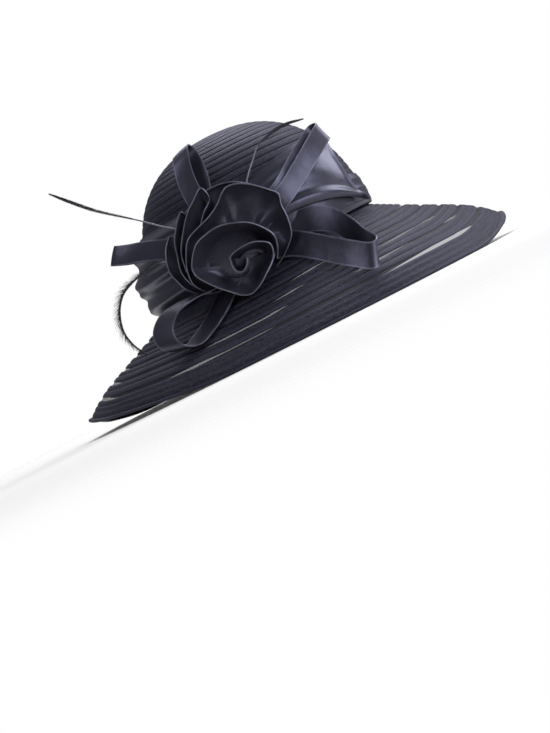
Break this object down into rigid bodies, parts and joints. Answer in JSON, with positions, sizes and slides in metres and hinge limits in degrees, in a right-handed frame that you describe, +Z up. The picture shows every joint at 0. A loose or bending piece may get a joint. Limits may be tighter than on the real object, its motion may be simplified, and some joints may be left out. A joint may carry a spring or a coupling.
{
  "type": "wide-brim dress sun hat",
  "caption": "Dark woven-braid dress sun hat: dome crown, wide wavy banded brim, satin band and fan, satin rose, ribbon loops and feathers.",
  "frame": {"origin": "centre of the hat's footprint, on the surface that the rim of its brim rests on", "axes": "+Z up through the crown, -Y towards the front of the hat, -X towards the wearer's right, where the trim is"},
  "size_m": [0.4034, 0.424, 0.2119],
  "materials": {
    "braid": "woven polyester braid with narrow sheer strips, slightly glossy",
    "satin": "satin ribbon with a soft gloss",
    "feather": "dyed feather, matt"
  },
  "bodies": {
    "root": {"crown": "braid", "brim": "braid", "sash": "satin", "drape": "satin", "rose": "satin", "loop_top_left": "satin", "loop_left": "satin", "loop_upright": "satin", "loop_right": "satin", "loop_lower_left": "satin", "feather_left": "feather", "feather_top": "feather", "feather_curled": "feather"}
  },
  "joints": []
}
